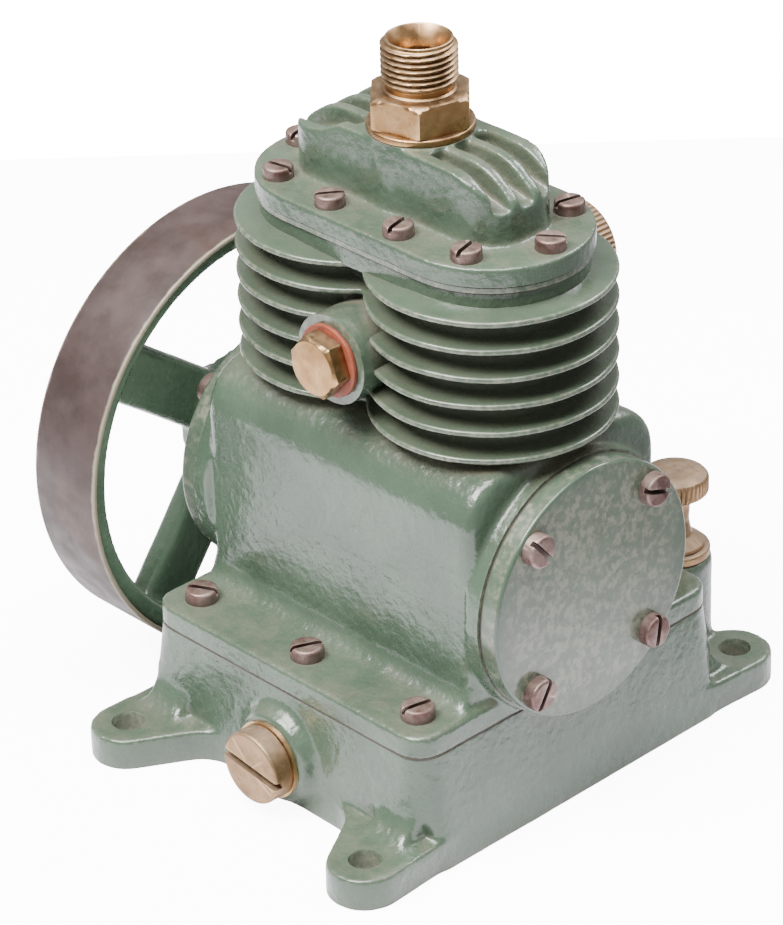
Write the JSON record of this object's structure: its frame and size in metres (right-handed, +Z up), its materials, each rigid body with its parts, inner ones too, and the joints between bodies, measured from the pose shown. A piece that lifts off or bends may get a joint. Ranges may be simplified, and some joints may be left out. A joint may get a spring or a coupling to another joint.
{
  "type": "air compressor",
  "caption": "Small twin-cylinder belt-driven air compressor: finned cylinders on a crankcase and sump, open-spoked flywheel at one end, threaded air outlet on the head.",
  "frame": {"origin": "centre of the four foot holes, on the underside of the base", "axes": "+Z up, +X along the crankshaft from the flywheel to the blind bearing cover, +Y towards the air intake, so the drain plug faces -Y"},
  "size_m": [0.1298, 0.1352, 0.1686],
  "materials": {
    "green_enamel": "gloss enamel over casting, worn",
    "brass": "aged, turned",
    "dark_steel": "browned, slotted heads",
    "bright_steel": "machined",
    "bare_iron": "machined and oiled",
    "fibre": "red fibre",
    "gasket_paper": "oiled paper",
    "bronze": "plain bearing bronze",
    "aluminium": "cast and machined",
    "seal_rubber": "matt",
    "felt": "felt"
  },
  "bodies": {
    "frame": {"base_sump": "green_enamel", "base_gasket": "gasket_paper", "drain_plug": "brass", "drain_washer": "brass", "filler_collar": "brass", "crankcase_block": "green_enamel", "flange_screws": "dark_steel", "cylinder_liner_left": "bare_iron", "cylinder_liner_right": "bare_iron", "bearing_cover": "green_enamel", "bearing_cover_gasket": "gasket_paper", "bearing_cover_screws": "dark_steel", "flywheel_side_cover": "green_enamel", "flywheel_side_gasket": "gasket_paper", "flywheel_side_screws": "dark_steel", "shaft_seal": "seal_rubber", "main_bush_left": "bronze", "main_bush_right": "bronze", "lower_head_gasket": "gasket_paper", "valve_plate": "green_enamel", "upper_head_gasket": "gasket_paper", "suction_reeds": "bright_steel", "delivery_reeds": "bright_steel", "reed_rivets": "bright_steel", "cylinder_head": "green_enamel", "head_screws": "dark_steel", "outlet_adapter": "brass", "outlet_washer": "brass", "port_plug": "brass", "port_plug_washer": "fibre", "intake_filter_body": "green_enamel", "intake_filter_cap": "brass", "intake_filter_felt": "felt"},
    "crank": {"crankshaft": "bright_steel", "flywheel": "green_enamel", "flywheel_key": "bright_steel", "shaft_washer": "dark_steel", "shaft_nut": "dark_steel"},
    "rod_left": {"connecting_rod_left": "aluminium", "rod_cap_left": "aluminium", "rod_screws_left": "bright_steel", "gudgeon_pin_left": "bright_steel"},
    "rod_right": {"connecting_rod_right": "aluminium", "rod_cap_right": "aluminium", "rod_screws_right": "bright_steel", "gudgeon_pin_right": "bright_steel"},
    "piston_left": {"piston_left": "aluminium", "piston_rings_left": "bare_iron"},
    "piston_right": {"piston_right": "aluminium", "piston_rings_right": "bare_iron"},
    "filler_cap": {"filler_cap": "brass"}
  },
  "joints": [
    {"name": "crank_spin", "type": "hinge", "parent": "frame", "child": "crank", "pos_m": [0, 0, 0.054], "axis": [1, 0, 0], "continuous": true},
    {"name": "rod_left_pivot", "type": "hinge", "parent": "crank", "child": "rod_left", "pos_m": [-0.0204, 0, 0.06035], "axis": [1, 0, 0], "continuous": true},
    {"name": "rod_right_pivot", "type": "hinge", "parent": "crank", "child": "rod_right", "pos_m": [0.0204, 0, 0.04765], "axis": [1, 0, 0], "continuous": true},
    {"name": "piston_left_slide", "type": "slide", "parent": "frame", "child": "piston_left", "axis": [0, 0, 1], "range_m": [-0.0127, 0]},
    {"name": "piston_right_slide", "type": "slide", "parent": "frame", "child": "piston_right", "axis": [0, 0, 1], "range_m": [0, 0.0127]},
    {"name": "filler_cap_lift", "type": "slide", "parent": "frame", "child": "filler_cap", "axis": [0, 0, 1], "range_m": [0, 0.036]}
  ],
  "couplings": [
    {"joint": "rod_left_pivot", "follows": "crank_spin", "ratio": -1},
    {"joint": "rod_right_pivot", "follows": "crank_spin", "ratio": -1}
  ]
}
